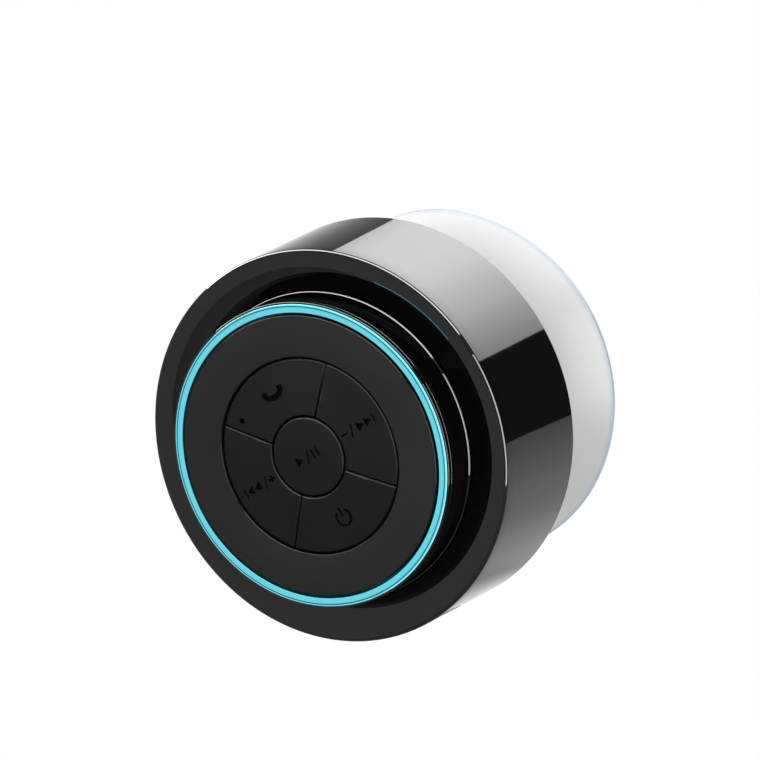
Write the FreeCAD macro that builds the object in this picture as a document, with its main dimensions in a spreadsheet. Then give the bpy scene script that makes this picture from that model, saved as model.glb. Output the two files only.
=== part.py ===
"""Shower speaker with a light ring, five keys and a suction cup that unscrews.

Every sub-part is drawn lying on its back: its own Z is the distance from the wall that the cup sticks to, X is the
listener's right and Y is up. FACING then stands it up, so that the speaker faces -Y, its key side is up +Z, and
the origin is the centre of the cup's lip.
"""
import FreeCAD, Part
import math
import os
import re
import Sketcher
from FreeCAD import Placement, Rotation, Vector

SIZES = {
    # housing
    "shell_radius": 41.0,
    "shell_depth": 28.1,
    "face_width": 9.1,
    "wall": 2.2,
    "rim_land": 2.0,
    "rim_break": 0.5,
    "dish_depth": 1.2,
    "rebate_lip": 0.8,
    "cover_edge": 1.6,
    "cover_gap": 0.2,
    "seal_thickness": 0.4,
    "boss_inset": 3.3,
    "boss_radius": 3.6,
    "boss_clearance": 0.3,
    "lug_gap": 0.3,
    # pod
    "pod_flare": 0.2,
    "pod_foot_drop": 0.85,
    "pod_height": 6.3,
    "pod_wall": 1.7,
    "pod_floor": 1.6,
    "slot_gap": 0.4,
    "mesh_thickness": 0.3,
    "mesh_overlap": 0.9,
    "pod_post_inset": 5.2,
    "pod_post_radius": 3.0,
    # light ring and panel
    "bezel_height": 1.2,
    "bezel_taper": 0.2,
    "bezel_tip": 0.25,
    "ring_gap": 0.05,
    "ring_width": 1.65,
    "ring_flange": 1.4,
    "ring_break": 0.2,
    "ring_rebate": 0.8,
    "ring_rebate_depth": 0.9,
    "ring_foot_width": 1.7,
    "ring_foot_height": 2.6,
    "panel_gap": 0.55,
    "panel_rise": 8.0,
    "panel_thickness": 1.8,
    "panel_break": 0.25,
    "collar_width": 1.2,
    # keys
    "pad_share": 0.7055,
    "key_gap": 0.5,
    "groove": 0.5,
    "centre_key_share": 0.405,
    "pad_rise": 7.8,
    "dome_rise": 0.9,
    "key_break": 0.2,
    "key_bottom": 5.7,
    "key_flange_height": 0.4,
    "key_flange": 1.0,
    "stub_radius": 1.6,
    "stub_length": 0.8,
    "key_circle_share": 0.69,
    "legend_share": 0.155,
    "legend_depth": 0.3,
    "mic_circle_share": 0.8,
    "mic_angle": 127.0,
    "mic_hole": 0.6,
    "membrane_thickness": 0.6,
    "membrane_drop": 0.4,
    "membrane_gap": 0.6,
    # key board
    "board_thickness": 1.2,
    "board_clearance": 0.3,
    "board_screw_inset": 5.3,
    "switch_width": 4.2,
    "switch_height": 1.5,
    "plunger_radius": 0.9,
    "plunger_depth": 0.5,
    "plunger_clearance": 0.08,
    "led_length": 1.6,
    "led_width": 0.8,
    "led_height": 0.6,
    "mic_radius": 2.0,
    "mic_height": 1.6,
    # baffle and driver
    "front_chamber": 2.2,
    "baffle_thickness": 2.0,
    "baffle_clearance": 0.2,
    "gasket_thickness": 0.7,
    "driver_inset": 8.8,
    "driver_depth": 12.2,
    "flange_thickness": 1.0,
    "basket_rim": 2.7,
    "basket_wall": 0.9,
    "roll_radius": 1.95,
    "roll_skin": 0.4,
    "coil_share": 0.34,
    "coil_skin": 0.3,
    "coil_reach": 2.9,
    "coil_gap": 0.35,
    "spider_share": 0.79,
    "spider_seat": 1.4,
    "yoke_share": 0.51,
    "yoke_floor": 1.4,
    "magnet_height": 2.5,
    "plate_height": 1.4,
    "cone_skin": 0.35,
    "cone_depth": 3.8,
    "cap_rise": 1.8,
    # rear cover, well and thread
    "cover_drop": 6.0,
    "cover_dome": 60.0,
    "boss_land": 3.4,
    "well_radius": 11.0,
    "well_depth": 5.2,
    "well_floor": 1.4,
    "thread_pitch": 2.5,
    "thread_height": 1.0,
    "thread_root": 1.3,
    "thread_crest": 0.6,
    "thread_gap": 0.4,
    "hub_gap": 0.3,
    "hub_land": 2.4,
    "hub_thickness": 4.3,
    "hub_wall": 1.8,
    "seal_section": 0.65,
    "seal_inset": 2.6,
    "seal_fit": 0.05,
    # suction cup
    "cup_radius": 36.5,
    "cup_hollow": 8.6,
    "cup_edge": 0.9,
    "cup_lip": 1.2,
    "cup_shoulder": 12.5,
    "shoulder_rise": 2.6,
    "cup_neck": 10.5,
    "cup_dome": 60.0,
    "cup_floor": 2.2,
    "anchor_radius": 7.6,
    "anchor_height": 1.8,
    "anchor_stem": 4.6,
    "stem_length": 3.2,
    # main board and what is on it
    "board_gap": 0.4,
    "main_board_thickness": 1.0,
    "main_board_gap": 1.0,
    "standoff_radius": 2.4,
    "standoff_inset": 5.5,
    "port_width": 9.0,
    "port_height": 3.2,
    "port_skin": 0.3,
    "port_stand": 1.4,
    "port_fit": 0.05,
    "battery_length": 26.0,
    "battery_width": 12.6,
    "battery_height": 9.0,
    "battery_gap": 0.5,
    "pad_thickness": 1.2,
    "ribbon_inset": 1.7,
    "ribbon_width": 6.0,
    "ribbon_thickness": 0.3,
    "wire_radius": 0.4,
    # screws
    "screw_radius": 0.9,
    "screw_fit": 0.05,
    "head_radius": 1.7,
    "head_height": 1.3,
}

# Heights above the wall plane and radii that several sub-parts share, worked out from the sizes.
LEVELS = {
    # suction cup, hub and well, counted up from the wall
    "anchor_base": "cup_hollow + cup_floor",
    "cup_shoulder_height": "cup_hollow + shoulder_rise",
    "hub_back": "anchor_base + anchor_height + stem_length",
    "hub_front": "hub_back + hub_thickness",
    "boss_station": "hub_front + hub_gap",
    "well_end": "boss_station + well_depth",
    "well_inside": "well_end + well_floor",
    "stub_front": "well_end - hub_gap",
    "thread_start": "boss_station + 1",
    "thread_turns": "(well_depth - 2.2)/thread_pitch",
    "stub_radius_root": "well_radius - thread_height - thread_gap",
    "hub_cavity": "stub_radius_root - hub_wall",
    "seal_circle": "well_radius + seal_inset",
    "hub_radius": "seal_circle + hub_land",
    "cover_boss": "seal_circle + boss_land",
    # housing
    "rear_station": "boss_station + cover_drop",
    "rim_station": "rear_station + shell_depth",
    "shoulder_station": "rear_station + cover_edge + seal_thickness",
    "inner_radius": "shell_radius - wall",
    "cover_radius": "shell_radius - rebate_lip - cover_gap",
    "cover_slope": "cover_drop/(cover_radius - cover_boss)",
    "boss_circle": "inner_radius - boss_inset",
    "face_hole": "pod_radius + pod_flare + slot_gap",
    "face_underside": "rim_station - dish_depth - wall",
    "lug_radius": "(inner_radius + 0.1 - face_hole - mesh_overlap - lug_gap)/2",
    "lug_circle": "inner_radius + 0.1 - lug_radius",
    # pod, light ring and panel
    "pod_radius": "shell_radius - face_width",
    "pod_floor_top": "face_underside + pod_floor",
    "pod_top": "rim_station + pod_height",
    "pod_bore": "pod_radius - pod_wall",
    "pod_post_circle": "pod_bore - pod_post_inset",
    "ring_outer": "pod_radius - bezel_taper - bezel_tip - ring_gap",
    "ring_inner": "ring_outer - ring_width",
    "ring_seat": "pod_top + 0.1",
    "ring_bottom": "ring_seat - ring_foot_height",
    "ring_face": "ring_seat + ring_flange",
    "ring_ledge": "pod_bore + ring_rebate",
    "ring_foot_top": "panel_back - 2*ring_gap",
    "ring_foot_outer": "pod_bore - board_clearance",
    "ring_foot_inner": "ring_foot_outer - ring_foot_width",
    "panel_radius": "ring_inner - panel_gap",
    "panel_face": "rim_station + panel_rise",
    "panel_back": "panel_face - panel_thickness",
    # keys and their board
    "pad_radius": "panel_radius*pad_share",
    "centre_key_radius": "pad_radius*centre_key_share",
    "key_circle": "pad_radius*key_circle_share",
    "mic_circle": "pad_radius*mic_circle_share",
    "legend": "pad_radius*legend_share",
    "key_floor": "rim_station + key_bottom",
    "key_edge": "rim_station + pad_rise",
    "key_outer": "pad_radius - key_gap",
    "dome_radius": "(key_outer^2 + dome_rise^2)/(2*dome_rise)",
    "dome_centre": "key_edge + dome_rise - dome_radius",
    "stub_end": "key_floor - stub_length",
    "membrane_top": "key_floor - membrane_drop",
    "board_face": "stub_end - plunger_depth - switch_height",
    "board_back": "board_face - board_thickness",
    "board_radius": "pod_bore - board_clearance",
    "board_screw_circle": "pod_bore - board_screw_inset",
    "collar_inner": "pad_radius + collar_width",
    "collar_outer": "collar_inner + collar_width",
    # baffle and driver
    "baffle_front": "face_underside - front_chamber",
    "baffle_back": "baffle_front - baffle_thickness",
    "driver_front": "baffle_back - gasket_thickness",
    "driver_back": "driver_front - driver_depth",
    "driver_radius": "pod_bore - driver_inset",
    "basket_mouth": "driver_radius - basket_rim",
    "spider_radius": "basket_mouth*spider_share",
    "yoke_radius": "basket_mouth*yoke_share",
    "coil_radius": "basket_mouth*coil_share",
    "plate_face": "driver_back + yoke_floor + magnet_height + plate_height",
    "coil_top": "driver_front - cone_depth",
    "coil_length": "coil_top - plate_face + coil_reach",
    "coil_outer": "coil_radius + coil_skin/2",
    "spider_level": "coil_top - 1",
    "yoke_bore": "coil_radius + 1.5*coil_skin + coil_gap",
    "cone_edge": "basket_mouth - 2*roll_radius - 0.2",
    # main board and what is on it
    "main_board_front": "driver_back - main_board_gap",
    "main_board_back": "main_board_front - main_board_thickness",
    "main_board_radius": "boss_circle - boss_radius - board_gap",
    "standoff_circle": "main_board_radius - standoff_inset",
    "port_mouth": "main_board_back - well_end - port_stand",
    "battery_offset": "driver_radius + battery_gap",
    "battery_back": "main_board_front + pad_thickness",
    "ribbon_offset": "pod_bore - ribbon_inset",
}

FACING = Placement(Vector(0, 0, 0), Rotation(Vector(1, 0, 0), 90))
DIAGONALS = (45, 135, 225, 315)
STANDOFF_ANGLES = (40, 140, 200, 340)
BOARD_SCREW_ANGLES = (30, 150, 270)
CROSSWISE = (0, 90, 180, 270)

document = FreeCAD.newDocument("ShowerSpeaker")
sheet = document.addObject("Spreadsheet::Sheet", "Sizes")
for row, (alias, number) in enumerate(SIZES.items(), start=1):
    sheet.set(f"A{row}", alias)
    sheet.set(f"B{row}", str(number))
    sheet.setAlias(f"B{row}", alias)
document.recompute()

pieces = []


def spelled_out(text, prefix=""):
    """A size such as "pod_top - wall" with its shared levels replaced by the sheet's own sizes."""
    def word(match):
        name = match.group(0)
        if name in LEVELS:
            return "(" + spelled_out(LEVELS[name], prefix) + ")"
        return prefix + name if name in SIZES else name
    return re.sub(r"[a-z_]+", word, str(text))


def bind(thing, target, text):
    """Tie one property or constraint to the sheet."""
    thing.setExpression(target, spelled_out(text, "Sizes."))


def millimetres(text):
    """The present value of a size."""
    return float(sheet.evalExpression(spelled_out(text)))


def finish(piece, label, turn=0):
    """Name a sub-part, stand it up facing the listener, and keep it for the export."""
    piece.Label = label
    piece.Placement = FACING * Placement(Vector(0, 0, 0), Rotation(Vector(0, 0, 1), turn))
    pieces.append(piece)
    return piece


def new_body(label):
    return finish(document.addObject("PartDesign::Body", label + "_body"), label)


def new_sketch(body, plane, level="0"):
    """A sketch on one of the body's own origin planes; a plan may be lifted to a level above the wall."""
    sketch = body.newObject("Sketcher::SketchObject", body.Label + "_sketch")
    origin_plane = next(f for f in body.Origin.OriginFeatures if f.Role == plane)
    sketch.AttachmentSupport = (origin_plane, [""])
    sketch.MapMode = "FlatFace"
    bind(sketch, "AttachmentOffset.Base.z", level)
    return sketch


def add_constraint(sketch, text, *definition):
    """A dimension tied to the sheet."""
    number = sketch.addConstraint(Sketcher.Constraint(*definition, millimetres(text)))
    bind(sketch, f"Constraints[{number}]", text)


def add_arc(sketch, start, end, bend):
    """An arc that turns left from start to end when bend is positive, and right when it is negative."""
    half = (end - start) * 0.5
    lift = math.sqrt(max(bend * bend - half.Length ** 2, 0)) * math.copysign(1, bend)
    centre = start + half + Vector(-half.y, half.x, 0).normalize() * lift
    first, last = (start, end) if bend > 0 else (end, start)
    angles = [math.atan2(p.y - centre.y, p.x - centre.x) for p in (first, last)]
    circle = Part.Circle(centre, Vector(0, 0, 1), abs(bend))
    return sketch.addGeometry(Part.ArcOfCircle(circle, *angles), False)


def add_side(sketch, corner, start, end):
    """The side that leaves a corner: a line, an arc of a given radius, or a half turn to the left or right."""
    if len(corner) == 2:
        return sketch.addGeometry(Part.LineSegment(start, end), False), 1, 2
    if corner[2] in ("left", "right"):
        bend = (end - start).Length / 2 * (1 if corner[2] == "left" else -1)
        side = add_arc(sketch, start, end, bend)
        if abs(end.x - start.x) < abs(end.y - start.y):
            add_constraint(sketch, corner[0], "DistanceX", -1, 1, side, 3)
        else:
            add_constraint(sketch, corner[1], "DistanceY", -1, 1, side, 3)
    else:
        bend = millimetres(corner[2])
        side = add_arc(sketch, start, end, bend)
        add_constraint(sketch, f"abs({corner[2]})", "Radius", side)
    return (side, 1, 2) if bend > 0 else (side, 2, 1)


def add_loop(sketch, corners):
    """A closed outline. A corner is (x, y), or (x, y, bend) when an arc leaves it."""
    places = [Vector(millimetres(c[0]), millimetres(c[1]), 0) for c in corners]
    sides = [add_side(sketch, corner, places[here], places[(here + 1) % len(corners)])
             for here, corner in enumerate(corners)]
    for here, corner in enumerate(corners):
        side, start, _ = sides[here]
        previous, _, end = sides[here - 1]
        sketch.addConstraint(Sketcher.Constraint("Coincident", previous, end, side, start))
        add_constraint(sketch, corner[0], "DistanceX", -1, 1, side, start)
        add_constraint(sketch, corner[1], "DistanceY", -1, 1, side, start)


def add_circle(sketch, radius, x="0", y="0"):
    centre = Vector(millimetres(x), millimetres(y), 0)
    ring = sketch.addGeometry(Part.Circle(centre, Vector(0, 0, 1), millimetres(radius)), False)
    add_constraint(sketch, x, "DistanceX", -1, 1, ring, 3)
    add_constraint(sketch, y, "DistanceY", -1, 1, ring, 3)
    add_constraint(sketch, radius, "Radius", ring)


def add_shapes(sketch, shapes):
    """Loops are lists of corners; circles are tuples of radius, x and y."""
    for shape in shapes:
        if isinstance(shape, tuple):
            add_circle(sketch, *shape)
        else:
            add_loop(sketch, shape)


def turn(body, section, kind="PartDesign::Revolution"):
    """Revolve a section, whose corners are (radius, level), about the speaker's axis."""
    sketch = new_sketch(body, "XZ_Plane")
    add_loop(sketch, section)
    feature = body.newObject(kind, body.Label + "_turned")
    feature.Profile = sketch
    feature.ReferenceAxis = (sketch, ["V_Axis"])
    feature.Angle = 360
    return feature


def raise_from(body, level, height, shapes):
    """Pad shapes drawn in plan, from a level towards the listener."""
    sketch = new_sketch(body, "XY_Plane", level)
    add_shapes(sketch, shapes)
    feature = body.newObject("PartDesign::Pad", body.Label + "_pad")
    feature.Profile = sketch
    bind(feature, "Length", height)
    return feature


def cut_from(body, level, depth, shapes):
    """Pocket shapes drawn in plan, from a level towards the wall."""
    sketch = new_sketch(body, "XY_Plane", level)
    add_shapes(sketch, shapes)
    feature = body.newObject("PartDesign::Pocket", body.Label + "_pocket")
    feature.Profile = sketch
    bind(feature, "Length", depth)
    return feature


def around(radius, circle, angles):
    """Equal circles spread round the axis."""
    return [(radius, f"({circle})*cos({angle})", f"({circle})*sin({angle})") for angle in angles]


def rectangle(x, y, width, height):
    """A rectangle in plan, about its centre."""
    left, right = f"({x}) - ({width})/2", f"({x}) + ({width})/2"
    low, high = f"({y}) - ({height})/2", f"({y}) + ({height})/2"
    return [(left, low), (right, low), (right, high), (left, high)]


def group(label, solids):
    """Separate solids of one kind, kept as one sub-part."""
    compound = document.addObject("Part::Compound", label + "_group")
    compound.Links = solids
    return finish(compound, label)


def rod(radius, bottom, height, x="0", y="0"):
    """A cylinder along the speaker's axis."""
    cylinder = document.addObject("Part::Cylinder", "rod")
    bind(cylinder, "Radius", radius)
    bind(cylinder, "Height", height)
    bind(cylinder, "Placement.Base.x", x)
    bind(cylinder, "Placement.Base.y", y)
    bind(cylinder, "Placement.Base.z", bottom)
    return cylinder


def block(x, y, bottom, width, depth, height):
    """A box centred on x and y in plan."""
    box = document.addObject("Part::Box", "block")
    bind(box, "Length", width)
    bind(box, "Width", depth)
    bind(box, "Height", height)
    bind(box, "Placement.Base.x", f"({x}) - ({width})/2")
    bind(box, "Placement.Base.y", f"({y}) - ({depth})/2")
    bind(box, "Placement.Base.z", bottom)
    return box


def spun_block(radius, angle, bottom, width, depth, height):
    """A box centred at a radius and turned to face out at an angle; its width is radial."""
    box = document.addObject("Part::Box", "block")
    bind(box, "Length", width)
    bind(box, "Width", depth)
    bind(box, "Height", height)
    near, side = f"(({radius}) - ({width})/2)", f"(({depth})/2)"
    box.Placement = Placement(Vector(0, 0, 0), Rotation(Vector(0, 0, 1), angle))
    bind(box, "Placement.Base.x", f"{near}*cos({angle}) + {side}*sin({angle})")
    bind(box, "Placement.Base.y", f"{near}*sin({angle}) - {side}*cos({angle})")
    bind(box, "Placement.Base.z", bottom)
    return box


def fused(*solids):
    joined = document.addObject("Part::MultiFuse", "fused")
    joined.Shapes = list(solids)
    return joined


def less(solid, hole):
    cut = document.addObject("Part::Cut", "less")
    cut.Base = solid
    cut.Tool = hole
    return cut


# ---- housing ----------------------------------------------------------------------------------------------

def front_shell():
    """Gloss cup with a shallow dished face round the pod and a rebated rear mouth."""
    body = new_body("front_shell")
    turn(body, [
        ("shell_radius", "rear_station"),
        ("shell_radius", "rim_station - rim_break"),
        ("shell_radius - rim_break", "rim_station"),
        ("shell_radius - rim_land", "rim_station",
         "((shell_radius - rim_land - face_hole)^2 + dish_depth^2)/(2*dish_depth)"),
        ("face_hole", "rim_station - dish_depth"),
        ("face_hole", "face_underside"),
        ("inner_radius", "face_underside"),
        ("inner_radius", "shoulder_station"),
        ("shell_radius - rebate_lip", "shoulder_station"),
        ("shell_radius - rebate_lip", "rear_station"),
    ])
    raise_from(body, "shoulder_station", "baffle_front - shoulder_station",
               around("boss_radius", "boss_circle", DIAGONALS))
    raise_from(body, "baffle_front", "front_chamber", around("lug_radius", "lug_circle", CROSSWISE))
    cut_from(body, "shoulder_station + 10", "10", around("screw_radius + screw_fit", "boss_circle", DIAGONALS))
    cut_from(body, "face_underside + 0.6", "front_chamber + 0.6",
             around("screw_radius + screw_fit", "lug_circle", CROSSWISE))


def slot_mesh():
    """Acoustic mesh across the ring-shaped slot that the sound leaves by."""
    body = new_body("slot_mesh")
    raise_from(body, "face_underside - mesh_thickness", "mesh_thickness",
               [("face_hole + mesh_overlap",), ("pod_radius + pod_flare - mesh_overlap",)])


def baffle_plate():
    """Carries the driver behind it and the pod on four posts in front."""
    body = new_body("baffle_plate")
    raise_from(body, "baffle_back", "baffle_thickness",
               [("inner_radius - baffle_clearance",), ("basket_mouth + baffle_clearance",)])
    raise_from(body, "baffle_front", "front_chamber", around("pod_post_radius", "pod_post_circle", DIAGONALS))
    through = "baffle_thickness + front_chamber + 1"
    cut_from(body, "face_underside + 1", f"{through} + 1",
             around("boss_radius + boss_clearance", "boss_circle", DIAGONALS))
    cut_from(body, "face_underside + 1", f"{through} + 1",
             around("screw_radius + screw_fit", "lug_circle", CROSSWISE)
             + around("screw_radius + screw_fit", "pod_post_circle", DIAGONALS)
             + [rectangle("-ribbon_offset", "0", "ribbon_thickness + 0.8", "ribbon_width + 0.8")])


def pod_housing():
    """Drum in front of the baffle that holds the keys, their board and the light ring."""
    body = new_body("pod_housing")
    turn(body, [
        ("0", "face_underside"),
        ("pod_radius + pod_flare", "face_underside"),
        ("pod_radius + pod_flare", "rim_station - pod_foot_drop"),
        ("pod_radius", "rim_station - pod_foot_drop + pod_flare"),
        ("pod_radius", "pod_top"),
        ("ring_ledge", "pod_top"),
        ("ring_ledge", "pod_top - ring_rebate_depth"),
        ("pod_bore", "pod_top - ring_rebate_depth"),
        ("pod_bore", "pod_floor_top"),
        ("0", "pod_floor_top"),
    ])
    raise_from(body, "pod_floor_top", "board_back - pod_floor_top",
               around("standoff_radius", "board_screw_circle", BOARD_SCREW_ANGLES))
    raise_from(body, "pod_floor_top", "board_back - pod_floor_top - 1",
               around("pod_post_radius - 0.4", "pod_post_circle", DIAGONALS))
    cut_from(body, "board_back", "board_back - pod_floor_top",
             around("screw_radius + screw_fit", "board_screw_circle", BOARD_SCREW_ANGLES))
    cut_from(body, "pod_floor_top + 1.6", "pod_floor + 2.6",
             around("screw_radius + screw_fit", "pod_post_circle", DIAGONALS)
             + [rectangle("-ribbon_offset", "0", "ribbon_thickness + 0.8", "ribbon_width + 0.8")])


def ring_bezel():
    """Gloss trim that tapers from the pod's wall to the light ring."""
    turn(new_body("ring_bezel"), [
        ("ring_outer + ring_gap", "pod_top"),
        ("pod_radius", "pod_top"),
        ("pod_radius - bezel_taper", "pod_top + bezel_height"),
        ("ring_outer + ring_gap", "pod_top + bezel_height"),
    ])


def light_ring():
    """Clear blue light guide: its foot stands over the LEDs and its flange shows round the panel."""
    turn(new_body("light_ring"), [
        ("ring_foot_inner", "ring_bottom"),
        ("ring_foot_outer", "ring_bottom"),
        ("ring_foot_outer", "pod_top - ring_rebate_depth + ring_gap"),
        ("ring_ledge - ring_gap", "pod_top - ring_rebate_depth + ring_gap"),
        ("ring_ledge - ring_gap", "ring_seat"),
        ("ring_outer", "ring_seat"),
        ("ring_outer", "ring_face - ring_break"),
        ("ring_outer - ring_break", "ring_face"),
        ("ring_inner + ring_break", "ring_face"),
        ("ring_inner", "ring_face - ring_break"),
        ("ring_inner", "ring_foot_top + 0.35"),
        ("ring_inner - 0.35", "ring_foot_top"),
        ("ring_foot_inner", "ring_foot_top"),
    ])


def front_panel():
    """Matt disc round the keys, with a collar that clamps the membrane and one that stands on the board."""
    turn(new_body("front_panel"), [
        ("pad_radius", "panel_back"),
        ("pad_radius", "panel_face - panel_break"),
        ("pad_radius + panel_break", "panel_face"),
        ("panel_radius - panel_break", "panel_face"),
        ("panel_radius", "panel_face - panel_break"),
        ("panel_radius", "panel_back"),
        ("ring_foot_inner - 4*ring_gap", "panel_back"),
        ("ring_foot_inner - 4*ring_gap", "board_face"),
        ("ring_foot_inner - 4*ring_gap - collar_width", "board_face"),
        ("ring_foot_inner - 4*ring_gap - collar_width", "panel_back"),
        ("collar_outer", "panel_back"),
        ("collar_outer", "membrane_top"),
        ("collar_inner", "membrane_top"),
        ("collar_inner", "panel_back"),
    ])


# ---- keys -------------------------------------------------------------------------------------------------

def dome_at(radius):
    """Level of the keys' shared dome at a radius."""
    return f"dome_centre + sqrt(dome_radius^2 - ({radius})^2)"


def quarter_turned(corners, quarters):
    """Corners turned by quarter turns about the speaker's axis."""
    for _ in range(quarters):
        corners = [(f"-({c[1]})", c[0], *c[2:]) for c in corners]
    return corners


def scaled(corners, x="0", y="0"):
    """Legend corners, given in legend heights, placed about x and y."""
    return [(f"{x} + {c[0]}*legend", f"{y} + {c[1]}*legend", *(f"{r}*legend" for r in c[2:])) for c in corners]


def arrow(start, end, half_height=0.32):
    """A solid triangle that points from start to end."""
    return [(start, -half_height), (end, 0), (start, half_height)]


def bar(start, end, half_height=0.32):
    return [(start, -half_height), (end, -half_height), (end, half_height), (start, half_height)]


def slash(middle, lean=0.15, half_width=0.05, half_height=0.4):
    """The sloping stroke between two meanings of one key."""
    return [(middle - lean - half_width, -half_height), (middle - lean + half_width, -half_height),
            (middle + lean + half_width, half_height), (middle + lean - half_width, half_height)]


def plus_sign(middle, arm=0.24, half=0.06):
    return [(middle + x, y) for x, y in (
        (-arm, -half), (-half, -half), (-half, -arm), (half, -arm), (half, -half), (arm, -half),
        (arm, half), (half, half), (half, arm), (-half, arm), (-half, half), (-arm, half))]


def power_sign(outer=0.6, inner=0.45, gap=35):
    """An open ring in two arcs each way, and the bar in its gap."""
    angles = [math.radians(a) for a in (90 + gap, 270, 450 - gap)]
    rim = [(outer * math.cos(a), outer * math.sin(a)) for a in angles]
    bore = [(inner * math.cos(a), inner * math.sin(a)) for a in reversed(angles)]
    ring = [(*rim[0], outer), (*rim[1], outer), rim[2], (*bore[0], -inner), (*bore[1], -inner), bore[2]]
    return [ring, [(-0.075, 0.1), (0.075, 0.1), (0.075, 0.7), (-0.075, 0.7)]]


def handset_sign():
    """A receiver: a curved grip between two ear pieces that point up."""
    return [[(-0.85, 0.1, 1.05), (0.85, 0.1), (0.85, 0.45), (0.42, 0.45), (0.42, 0.17, -0.85),
             (-0.42, 0.17), (-0.42, 0.45), (-0.85, 0.45)]]


def press_legend(body, signs, x, y, circle):
    """Sink a legend into the key's domed top."""
    cut_from(body, f"{dome_at(circle)} + 1", "1 + legend_depth", [scaled(sign, x, y) for sign in signs])


def play_key():
    """Round key at the middle of the pad."""
    body = new_body("play_key")
    edge = "centre_key_radius - groove/2"
    turn(body, [
        ("0", "key_floor"),
        (edge, "key_floor"),
        (edge, f"{dome_at(edge)} - key_break"),
        (f"{edge} - key_break", dome_at(f"{edge} - key_break"), "dome_radius"),
        ("0", "key_edge + dome_rise"),
    ])
    raise_from(body, "stub_end", "stub_length", [("stub_radius",)])
    press_legend(body, [arrow(-0.95, -0.4), slash(0), bar(0.4, 0.52), bar(0.75, 0.87)], "0", "0", "0")


def sector_key(label, quarters, signs):
    """A quarter of the ring of keys, facing right, up, left or down after 0 to 3 quarter turns."""
    body = new_body(label)
    inner = "centre_key_radius + groove/2"
    turn(body, [
        (inner, "key_floor"),
        ("pad_radius + key_flange", "key_floor"),
        ("pad_radius + key_flange", "key_floor + key_flange_height"),
        ("key_outer", "key_floor + key_flange_height"),
        ("key_outer", "key_edge - key_break"),
        ("key_outer - key_break", dome_at("key_outer - key_break"), "dome_radius"),
        (f"{inner} + key_break", dome_at(f"{inner} + key_break")),
        (inner, f"{dome_at(inner)} - key_break"),
    ])
    corner = "groove/sqrt(2)"
    far = "2*shell_radius"
    others = [(corner, "0"), ("shell_radius", f"shell_radius - {corner}"), ("shell_radius", far),
              (f"-{far}", far), (f"-{far}", f"-{far}"), ("shell_radius", f"-{far}"),
              ("shell_radius", f"{corner} - shell_radius")]
    cut_from(body, "key_edge + 3", "key_edge + 4 - key_floor", [quarter_turned(others, quarters)])
    (x, y), = quarter_turned([("key_circle", "0")], quarters)
    raise_from(body, "stub_end", "stub_length", [("stub_radius", x, y)])
    press_legend(body, signs, x, y, "key_circle")
    return body


def call_key():
    """The upper key, with the microphone's hole near its left end."""
    body = sector_key("call_key", 1, handset_sign())
    cut_from(body, "key_edge + 3", "key_edge + 4 - key_floor", around("mic_hole", "mic_circle", ["mic_angle"]))


def mic_mesh():
    """Breathable membrane glued under the microphone's hole."""
    body = new_body("mic_mesh")
    raise_from(body, "key_floor - 0.2", "0.2", around("stub_radius", "mic_circle", ["mic_angle"]))


def stub_places():
    """Where the five keys press: the middle, then right, up, left and down."""
    return [("0", "0")] + [quarter_turned([("key_circle", "0")], quarters)[0] for quarters in range(4)]


def key_membrane():
    """Silicone cap over the key board, open round each key's stub and over the microphone."""
    body = new_body("key_membrane")
    turn(body, [
        ("0", "membrane_top - membrane_thickness"),
        ("collar_inner", "membrane_top - membrane_thickness"),
        ("collar_inner", "board_face"),
        ("collar_outer", "board_face"),
        ("collar_outer", "membrane_top"),
        ("0", "membrane_top"),
    ])
    hole = "stub_radius + membrane_gap"
    cut_from(body, "membrane_top + 1", "membrane_thickness + 2",
             [(hole, x, y) for x, y in stub_places()] + around(hole, "mic_circle", ["mic_angle"]))


def switch_plungers():
    """Five plungers, each touching its key's stub and sinking into its switch with the key."""
    for name, (x, y) in zip(("play", "next", "call", "previous", "power"), stub_places()):
        plunger = rod("plunger_radius", "stub_end - plunger_depth - 0.4", "plunger_depth + 0.4", x, y)
        group(name + "_plunger", [plunger])


def key_switches():
    """Dome switches soldered to the key board, bored for their plungers."""
    cases = []
    for x, y in stub_places():
        case = block(x, y, "board_face", "switch_width", "switch_width", "switch_height")
        well = rod("plunger_radius + plunger_clearance", "board_face + 0.6", "switch_height", x, y)
        cases.append(less(case, well))
    group("key_switches", cases)


def key_board():
    """Round circuit board in the pod."""
    body = new_body("key_board")
    raise_from(body, "board_back", "board_thickness",
               [("board_radius",)] + around("screw_radius + screw_fit", "board_screw_circle", BOARD_SCREW_ANGLES))


def leds():
    """Side-by-side LEDs under the light ring's foot."""
    group("leds", [spun_block("ring_foot_inner + ring_foot_width/2", angle, "board_face",
                              "led_width", "led_length", "led_height") for angle in range(15, 375, 30)])


def microphone():
    group("microphone", [rod("mic_radius", "board_face", "mic_height",
                             "mic_circle*cos(mic_angle)", "mic_circle*sin(mic_angle)")])


# ---- driver -----------------------------------------------------------------------------------------------

def driver_frame():
    """Stamped basket, open at four windows."""
    body = new_body("driver_frame")
    turn(body, [
        ("basket_mouth", "driver_front"),
        ("driver_radius", "driver_front"),
        ("driver_radius", "driver_front - flange_thickness"),
        ("basket_mouth + basket_wall", "driver_front - flange_thickness"),
        ("spider_radius + 1 + basket_wall", "spider_level - basket_wall"),
        ("spider_radius - spider_seat - basket_wall", "plate_face - basket_wall"),
        ("yoke_radius", "plate_face - basket_wall"),
        ("yoke_radius", "plate_face"),
        ("spider_radius - spider_seat - basket_wall/2", "plate_face"),
        ("spider_radius - spider_seat", "spider_level"),
        ("spider_radius + 0.6", "spider_level"),
        ("basket_mouth", "driver_front - flange_thickness"),
    ])
    cut_from(body, "driver_front - flange_thickness - 0.6", "driver_front - spider_level",
             around("2.2", "(basket_mouth + spider_radius)/2 + 1", DIAGONALS))


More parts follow.
